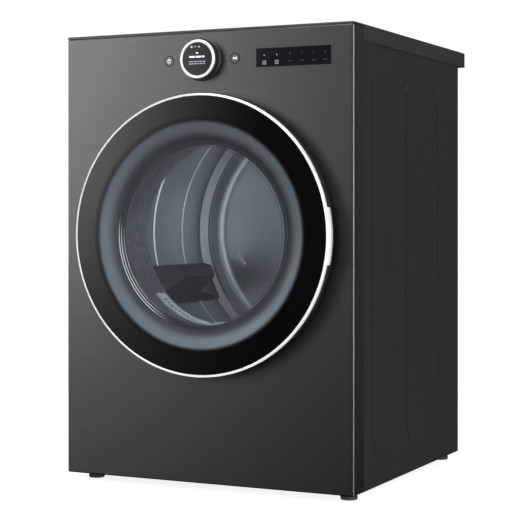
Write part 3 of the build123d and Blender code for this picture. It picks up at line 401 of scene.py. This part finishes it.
# Painted shade: dark at both edges, a painted highlight on the crown, and painted shade along the moulded
# steps.
painted_shade_tone = painted_shade_rise * painted_shade_fall * (1.0 - steps * 0.4)
painted_light_and_shade = painted_shade_tone * (roll_clouds * 0.16 + 0.92) * painted_light_side.fade(-0.2, 0.2, 0.6, 1.05)
roll.feed("Base Color", roll.blend(painted_light_and_shade, (0.018, 0.020, 0.022), (0.235, 0.256, 0.272)))
roll.feed("Roughness", roll_grain * 0.1 + 0.26)
roll.bump(roll_grain, 0.00001)
finishes["inner_ring"] = roll

# %% [markdown]
# ## The lip round the bowl
#
# The lip that holds the bowl is seen through the clear rim, and its colour is painted a deep grey as painted
# light from the drum.
# The rest of the moulding stays black, so the distance from the door's centre picks out the lip alone.

# %% Moulded door ring
lip_outer = 0.2045
shell = moulded("door_lip", (0.02, 0.02, 0.022), 0.42)
lip_edge = 0.002
lip_clouds = shell.noise(40.0, 3.0).fade(0.2, 0.8, 0.6, 1.2)
# Painted light: the lip is lifted from black to deep grey to stand for the drum's light.
lip = shell.ring(door_centre).fade(lip_outer - lip_edge, lip_outer, 1.0, 0.0) * lip_clouds
shell.feed("Base Color", shell.blend(lip, (0.018, 0.018, 0.020), (0.10, 0.11, 0.12)))

# %% [markdown]
# ## The black screens
#
# The dial's round screen and the key window are black glass over a black sheet, deep and very glossy.

# %% Black screen glass
screen = Finish("display_glass", **{"Coat Weight": 0.6, "Coat Roughness": 0.03})
print_grain = screen.noise(60.0, 3.0)
screen.feed("Base Color", screen.blend(print_grain, (0.003, 0.003, 0.005), (0.006, 0.006, 0.009)))
screen.feed("Roughness", print_grain * 0.08 + 0.10)
finishes["display_glass"] = screen

# %% [markdown]
# ## Door glass
#
# The outer pane is clear, with a black border printed on its back. The print ends in a band of dots that
# shrink until they are gone, and from a distance that reads as a soft edge. Here the distance from the
# door's centre drives a smooth fade between two shaders: solid gloss black outside, and almost clear glass
# inside.

# %% Door glass
def clear_mix(finish, tint, solid):
    """Lets light straight through where solid is 0, and shows the shader where it is 1."""
    through = finish.add("ShaderNodeBsdfTransparent", {}, {"Color": tint})
    mix = finish.add("ShaderNodeMixShader", {}, {0: solid, 1: Wire(finish, through.outputs[0])})
    finish.tree.links.new(finish.shader.outputs[0], mix.inputs[2])
    finish.tree.links.new(mix.outputs[0], finish.output.inputs["Surface"])


def facing(finish):
    """More at a glancing view, and the same from both sides of the glass, so a slanting view stays clear."""
    node = finish.add("ShaderNodeLayerWeight", {}, {"Blend": 0.5})
    return Wire(finish, node.outputs["Facing"]) ** 5 * 0.96 + 0.04


border_inner = 0.236
border_outer = 0.256
pane = Finish("door_glass", **{"Base Color": (0.0012, 0.0013, 0.0016), "IOR": 1.5})
from_centre = pane.ring(door_centre)
printed = from_centre.fade(border_inner, border_outer)
wipes = pane.noise(14.0, 4.0)
pane.feed("Roughness", wipes * 0.05 + 0.035)
clear_mix(pane, (0.88, 0.90, 0.915), printed.most(facing(pane)))
finishes["door_glass"] = pane

# %% [markdown]
# ## Clear bowl and lamp lens
#
# The bowl is one thick clear moulding with a slow waviness, so it lets most light through and bends its
# glints a little. The drum lamp's lens is ribbed and milky, so it lets less through and scatters the rest.

# %% Clear bowl and lamp lens
bowl = Finish("bowl_glass", **{"Base Color": (0.62, 0.66, 0.69), "IOR": 1.5})
flow = bowl.noise(9.0, 3.0)
bowl.feed("Roughness", flow * 0.05 + 0.04)
bowl.bump(flow, 0.0006, 0.5)
clear_mix(bowl, (0.93, 0.945, 0.955), facing(bowl) * 0.22 + 0.02)
finishes["bowl_glass"] = bowl

lens = Finish("lens", **{"Base Color": (0.8, 0.8, 0.78), "IOR": 1.48})
ribs = (lens.split()[0] * 2600.0).wave()
lens.feed("Roughness", ribs * 0.05 + 0.4)
lens.bump(ribs, 0.0002)
clear_mix(lens, (0.9, 0.9, 0.88), facing(lens) + 0.4)
finishes["lens"] = lens

# %% [markdown]
# ## Felt, belt, filter screen and circuit board
#
# These are small, but each has a pattern that says what it is: tangled fibres, ribs that run along the
# belt, a square weave, and copper tracks under green lacquer.

# %% Felt
felt = Finish("felt", **{"Sheen Weight": 0.5, "IOR": 1.4})
fibres = felt.noise(520.0, 6.0, None, 0.75)
felt.feed("Base Color", felt.blend(fibres, (0.36, 0.34, 0.30), (0.66, 0.64, 0.58)))
felt.feed("Roughness", fibres * 0.1 + 0.85)
felt.bump(fibres, 0.0008)
finishes["felt"] = felt

# %% Belt
belt = Finish("belt_rubber", **{"IOR": 1.5})
belt_ribs = (belt.split()[1] * 2800.0).wave()
grime = belt.noise(160.0, 3.0)
belt.feed("Base Color", belt.blend(grime, (0.012, 0.012, 0.012), (0.045, 0.044, 0.042)))
belt.feed("Roughness", grime * 0.2 + 0.5)
belt.bump(belt_ribs, 0.0006)
finishes["belt_rubber"] = belt

# %% Filter screen
mesh = Finish("filter_mesh", **{"IOR": 1.45})
mesh_x, _, mesh_z = mesh.split()
weave = (mesh_x * 4200.0).wave().size() * (mesh_z * 4200.0).wave().size()
mesh.feed("Base Color", mesh.blend(weave, (0.60, 0.63, 0.66), (0.16, 0.17, 0.18)))
mesh.feed("Roughness", weave * 0.3 + 0.45)
mesh.bump(1.0 - weave, 0.0002)
finishes["filter_mesh"] = mesh

# %% Circuit board
board = Finish("board", **{"Coat Weight": 0.5, "Coat Roughness": 0.1})
tracks = board.cells(170.0, "DISTANCE_TO_EDGE").below(0.05)
board.feed("Base Color", board.blend(tracks, (0.008, 0.06, 0.022), (0.03, 0.16, 0.06)))
board.feed("Roughness", tracks * 0.1 + 0.3)
board.bump(tracks, 0.00005)
finishes["board"] = board

# %% [markdown]
# ## Dressing the CAD pieces
#
# The record that came with the model says which finish each piece has. A CAD piece keeps its shape: only
# the material in its slot is changed.

# %% Give each CAD piece its finish
slot_of = {entry["node"]: entry["material_slot"] for entry in frame["record"]["subparts"]}
for name, piece in nodes.items():
    finish = finishes["door_lip"] if name == "door_shell" else finishes[slot_of[name]]
    for slot in piece.material_slots:
        slot.material = finish.material
print("dressed", len(nodes), "pieces in", len(finishes), "finishes")

# %% [markdown]
# ## Tools for the small pieces
#
# The printed marks are thin plates of their own, a fraction of a millimetre thick, so they turn and move
# with the part that carries them. An operator works on all that is selected, so each piece starts by
# deselecting everything. Then it is shaped in edit mode, and its place is applied to its mesh at the end.

# %% Helpers for modelling
def start(make, **size):
    """Adds one primitive with nothing else selected, and returns it."""
    bpy.ops.object.select_all(action="DESELECT")
    make(**size)
    return bpy.context.active_object


def settle(pieces, name, finish, body):
    """Joins pieces into one, tidies its mesh, and gives it its finish, slot and body."""
    bpy.ops.object.select_all(action="DESELECT")
    for piece in pieces:
        piece.select_set(True)
    whole = pieces[0]
    bpy.context.view_layer.objects.active = whole
    if len(pieces) > 1:
        bpy.ops.object.join()
    bpy.ops.object.transform_apply(location=True, rotation=True, scale=True)
    bpy.ops.object.mode_set(mode="EDIT")
    bpy.ops.mesh.select_all(action="SELECT")
    bpy.ops.mesh.remove_doubles(threshold=0.000002)
    bpy.ops.mesh.normals_make_consistent(inside=False)
    bpy.ops.object.mode_set(mode="OBJECT")
    whole.name = name
    whole.data.materials.clear()
    whole.data.materials.append(finishes[finish].material)
    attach(whole, body)
    print(name, len(whole.data.polygons), "faces, rides on", body)


# %% A thin printed mark
mark_thickness = 0.00025


def mark(place, width, height, sides=4, border=0.0, turn=0.0):
    """A thin plate on an upright face: a bar, or a triangle or dot by its sides. border leaves an outline."""
    across = math.sqrt(2.0) if sides == 4 else 2.0
    spin = math.pi / 4 if sides == 4 else turn
    plate = start(bpy.ops.mesh.primitive_circle_add, vertices=sides, radius=1.0 / across, fill_type="NGON")
    bpy.ops.transform.rotate(value=spin, orient_axis="Z", center_override=(0, 0, 0))
    bpy.ops.object.transform_apply(location=True, rotation=True, scale=True)
    plate.scale = (width, height, 1.0)
    plate.rotation_euler = (math.pi / 2, 0, 0)
    plate.location = place
    bpy.ops.object.transform_apply(location=True, rotation=True, scale=True)
    bpy.ops.object.mode_set(mode="EDIT")
    if border:
        bpy.ops.mesh.select_all(action="SELECT")
        bpy.ops.mesh.inset(thickness=border)
        bpy.ops.mesh.delete(type="FACE")
    bpy.ops.mesh.select_all(action="SELECT")
    bpy.ops.mesh.extrude_region_move(TRANSFORM_OT_translate={"value": (0, -mark_thickness, 0)})
    bpy.ops.object.mode_set(mode="OBJECT")
    return plate


# %% [markdown]
# ## Lit marks
#
# The screens and keys glow through black glass. The marks here are plain signs with no letters: small bars
# stand for lines of writing, a ring with a bar means power, and a triangle with two bars means start and
# pause. Lamps behind a screen are never quite even, so noise varies the glow a little.

# %% The glow of a mark
def lit(name, colour, power):
    finish = Finish(name, **{"Roughness": 0.4, "Emission Strength": power})
    uneven = finish.noise(700.0, 2.0)
    glow = finish.blend(uneven, colour, [c * 0.7 for c in colour])
    finish.feed("Base Color", glow)
    finish.feed("Emission Color", glow)
    finishes[name] = finish


lit("lit_mark", (0.86, 0.89, 0.93), 0.75)
lit("soft_mark", (0.36, 0.38, 0.42), 0.34)
lit("faint_mark", (0.025, 0.026, 0.03), 0.03)

# %% Marks on the dial's screen
dial_x, dial_z = dial_centre.x, dial_centre.z


def on_dial(x, z):
    """A place on the dial's screen, from millimetres across and up."""
    return (dial_x + x / 1000, dial_face, dial_z + z / 1000)


bold_words = [(-12.0, 14.0), (3.2, 12.0), (14.2, 6.0)]
bold_line = [mark(on_dial(x, 4.6), width / 1000, 0.0034) for x, width in bold_words]
head_signs = [
    mark(on_dial(-13.4, 26.0), 0.0034, 0.0034, border=0.0008),
    mark(on_dial(-4.6, 26.4), 0.0030, 0.0030, sides=3, turn=math.pi / 2),
    mark(on_dial(4.4, 26.0), 0.0032, 0.0032, sides=24, border=0.0008),
    mark(on_dial(0.0, 12.6), 0.0052, 0.0024),
]
settle(bold_line + head_signs, "dial_screen_signs", "lit_mark", "root")
small_words = [
    (-5.6, [(-15.4, 8.6), (-4.6, 10.0), (7.0, 10.0), (16.4, 5.6)]),
    (-10.2, [(-14.6, 9.6), (-2.6, 11.6), (8.6, 7.6), (16.2, 5.0)]),
]
small_lines = [mark(on_dial(x, z), width / 1000, 0.0019) for z, words in small_words for x, width in words]
settle(small_lines, "dial_screen_lines", "soft_mark", "root")

# %% Signs on the two buttons
def on_button(node, x, z):
    """A place on a button's face, from millimetres off its middle."""
    low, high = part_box(node)
    return ((low[0] + high[0]) / 2 + x / 1000, low[1], (low[2] + high[2]) / 2 + z / 1000)


power_sign = [
    mark(on_button("power_button", 0.0, -0.4), 0.0080, 0.0080, sides=32, border=0.0010),
    mark(on_button("power_button", 0.0, 3.4), 0.0012, 0.0040),
]
settle(power_sign, "power_sign", "lit_mark", "power_button")
start_sign = [
    mark(on_button("start_button", -2.4, 0.0), 0.0062, 0.0062, sides=3, turn=0.0),
    mark(on_button("start_button", 1.8, 0.0), 0.0012, 0.0056),
    mark(on_button("start_button", 4.2, 0.0), 0.0012, 0.0056),
]
settle(start_sign, "start_sign", "lit_mark", "start_button")

# %% Signs in the key window
def in_window(x, z):
    """A place on the key window, from millimetres right of its left edge and above its lower edge."""
    return (window_low.x + x / 1000, window_low.y, window_low.z + z / 1000)


key_columns = [19.0, 47.5]
arrows = [mark(in_window(x, 24.6), 0.0044, 0.0044, sides=3, turn=math.pi / 2) for x in key_columns]
squares = [mark(in_window(x, 9.0), 0.0078, 0.0078, border=0.0010) for x in key_columns]
fills = [mark(in_window(x, 9.0), 0.0020, 0.0020) for x in key_columns]
settle(arrows + squares + fills, "window_signs", "soft_mark", "root")
sleeping_columns = [78.0, 104.0, 131.0, 157.0]
sleeping = [mark(in_window(x, 26.0), 0.0050, 0.0050, sides=24, border=0.0010) for x in sleeping_columns]
sleeping += [mark(in_window(x, 10.0), 0.0090, 0.0024) for x in sleeping_columns]
settle(sleeping, "window_sleeping_signs", "faint_mark", "root")

# %% [markdown]
# ## Beads round the bowl
#
# The bowl's rim is moulded with fine raised rings, which catch the light as thin bright lines. Each is one
# small circle spun all the way round the door's centre. Their colour holds a painted highlight: white at the
# lower left and dark elsewhere, set by the direction round the rim.

# %% Beads
def bead(radius, y, thickness):
    """A thin ring round the door's centre."""
    section = start(
        bpy.ops.mesh.primitive_circle_add,
        vertices=8,
        radius=thickness / 2,
        location=(door_centre.x + radius, y, door_centre.z),
    )
    bpy.ops.object.mode_set(mode="EDIT")
    bpy.ops.mesh.select_all(action="SELECT")
    bpy.ops.mesh.spin(steps=144, angle=2 * math.pi, center=(door_centre.x, y, door_centre.z), axis=(0, 1, 0))
    bpy.ops.object.mode_set(mode="OBJECT")
    return section


bead_highlight_finish = Finish("bead", **{"IOR": 1.5})
bead_x, _, bead_z = bead_highlight_finish.split()
# Painted highlight: the beads' colour turns white towards the lower left of the rim.
painted_highlight_side = (bead_x - door_centre.x) * -0.88 + (bead_z - door_centre.z) * -0.47
bead_flow = bead_highlight_finish.noise(26.0, 3.0)
painted_highlight_tone = painted_highlight_side.fade(0.150, 0.190) * bead_flow.fade(0.30, 0.46, 0.35, 1.0)
bead_highlight_finish.feed("Base Color", bead_highlight_finish.blend(painted_highlight_tone, (0.09, 0.10, 0.11), (1.0, 1.0, 1.0)))
bead_highlight_finish.feed("Roughness", bead_flow * 0.1 + 0.2)
finishes["bead"] = bead_highlight_finish
bowl_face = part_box("door_bowl")[0][1]
bead_proud = 0.0010  # how far the two outer beads' centres stand in front of the bowl's rim
beads = [
    bead(0.2012, bowl_face - bead_proud, 0.0022),
    bead(0.1955, bowl_face - bead_proud, 0.0022),
    bead(0.1895, bowl_face, 0.0012),
]
settle(beads, "bowl_beads", "bead", "door")

# %% [markdown]
# ## Floor, light and backdrop
#
# The floor is a pale plane that fades away at its edge, so no horizon shows. The brushed front is metal, so
# its brightness is simply what it mirrors: a tall card stands at the left and in front, bright at its top
# left and dark towards its lower right, and the front shows that as a soft slope of light. A tall lamp at
# the right draws the bright line down the rounded front corner. Two small lamps inside light the drum and
# the throat.

# %% Floor
floor = start(bpy.ops.mesh.primitive_plane_add, size=9.0, location=(0, 0, 0))
floor.name = "floor"
floor_glow = {"Emission Color": (1.0, 1.0, 1.0), "Emission Strength": 0.80}
floor_finish = Finish("floor_paint", **{"Roughness": 0.75, **floor_glow})
floor_tone = floor_finish.noise(3.0, 3.0)
floor_x, floor_y, _ = floor_finish.split()
floor_finish.feed("Base Color", floor_finish.blend(floor_tone, (0.86, 0.86, 0.86), (0.90, 0.90, 0.90)))
floor_reach = (floor_x * floor_x + floor_y * floor_y) ** 0.5
floor_finish.feed("Alpha", floor_reach.fade(0.9, 2.2, 1.0, 0.0))
floor.data.materials.append(floor_finish.material)
floor.visible_glossy = False

# %% Reflecting card
card_away = 3.0  # from the front panel to the card
card = start(bpy.ops.mesh.primitive_plane_add, size=1.0)
card.name = "reflecting_card"
card.scale = (3.8, 4.2, 1.0)
card.rotation_euler = (math.pi / 2, 0, 0)
card.location = (-2.3, panel_face - card_away, 1.0)
bpy.ops.object.transform_apply(location=True, rotation=True, scale=True)
card_finish = Finish("card_light", **{"Base Color": (0, 0, 0), "Roughness": 1.0, "Emission Strength": 3.9})
card_x, _, card_z = card_finish.split()
card_glow = card_x.fade(-2.6, -1.2, 1.0, 0.01) * card_z.fade(-0.2, 1.1, 0.11, 1.0)
card_finish.feed("Emission Color", card_finish.blend(card_glow, (0.004, 0.004, 0.004), (1.0, 0.99, 0.99)))
card.data.materials.append(card_finish.material)
card.visible_camera = False

# %% Lights
def lamp(name, place, target, width, height, power, colour=(1.0, 1.0, 1.0)):
    """A rectangular soft lamp that faces a point."""
    data = bpy.data.lights.new(name, "AREA")
    data.shape = "RECTANGLE"
    data.size = width
    data.size_y = height
    data.energy = power
    data.color = colour
    light = bpy.data.objects.new(name, data)
    light.location = place
    light.rotation_euler = (Vector(target) - Vector(place)).to_track_quat("-Z", "Y").to_euler()
    scene.collection.objects.link(light)
    return light


chest = (0.0, 0.0, 0.55)
fill = lamp("front_fill", (2.2, -3.4, 0.9), chest, 1.6, 1.6, 100)
fill.visible_glossy = False
glints = [
    lamp("corner_strip", (3.0, -0.9, 0.9), chest, 1.5, 2.6, 75),
    lamp("left_rim", (-3.0, -0.5, 0.9), chest, 0.5, 2.6, 22),
    lamp("rear_glow", (1.75, 3.0, 0.7), (0.34, 0.0, 0.5), 2.4, 2.6, 0.9),
]
for glint in glints:
    glint.visible_diffuse = False
lamp("overhead", (0.3, -0.6, 3.2), chest, 2.4, 1.8, 60)
drum_mouth = (0.0, panel_face + 0.16, 0.52)
drum_roof = (-0.04, 0.30, 0.74)
lamp("in_the_drum", drum_mouth, drum_roof, 0.34, 0.16, 0.52, (0.95, 0.98, 1.0))
throat_middle = (0.06, panel_face + 0.10, 0.50)
filter_cap = (-0.12, panel_face + 0.08, 0.37)
throat_lamp = lamp("in_the_throat", throat_middle, filter_cap, 0.10, 0.03, 0.16)
throat_lamp.visible_glossy = False

# %% Backdrop
# The camera sees plain white, and everything else sees a dim sky that grows brighter upwards.
world = bpy.data.worlds.new("studio")
scene.world = world
world.use_nodes = True
sky = world.node_tree


def sky_node(kind, **values):
    """Adds one node to the sky, with values for its sockets."""
    node = sky.nodes.new(kind)
    for name, value in values.items():
        node.inputs[name.replace("_", " ")].default_value = value
    return node


dim = sky.nodes["Background"]
dim.inputs["Strength"].default_value = 0.30
white = sky_node("ShaderNodeBackground", Color=(1, 1, 1, 1), Strength=1.05)
rays = sky_node("ShaderNodeLightPath")
choose = sky_node("ShaderNodeMixShader")
direction = sky_node("ShaderNodeTexCoord")
parts = sky_node("ShaderNodeSeparateXYZ")
height = sky_node("ShaderNodeMapRange", From_Min=-0.05, From_Max=0.9, To_Min=0.03, To_Max=0.9)
sky.links.new(direction.outputs["Generated"], parts.inputs[0])
sky.links.new(parts.outputs["Z"], height.inputs["Value"])
sky.links.new(height.outputs["Result"], dim.inputs["Color"])
sky.links.new(rays.outputs["Is Camera Ray"], choose.inputs[0])
sky.links.new(dim.outputs[0], choose.inputs[1])
sky.links.new(white.outputs[0], choose.inputs[2])
sky.links.new(choose.outputs[0], sky.nodes["World Output"].inputs["Surface"])
print("lights up")
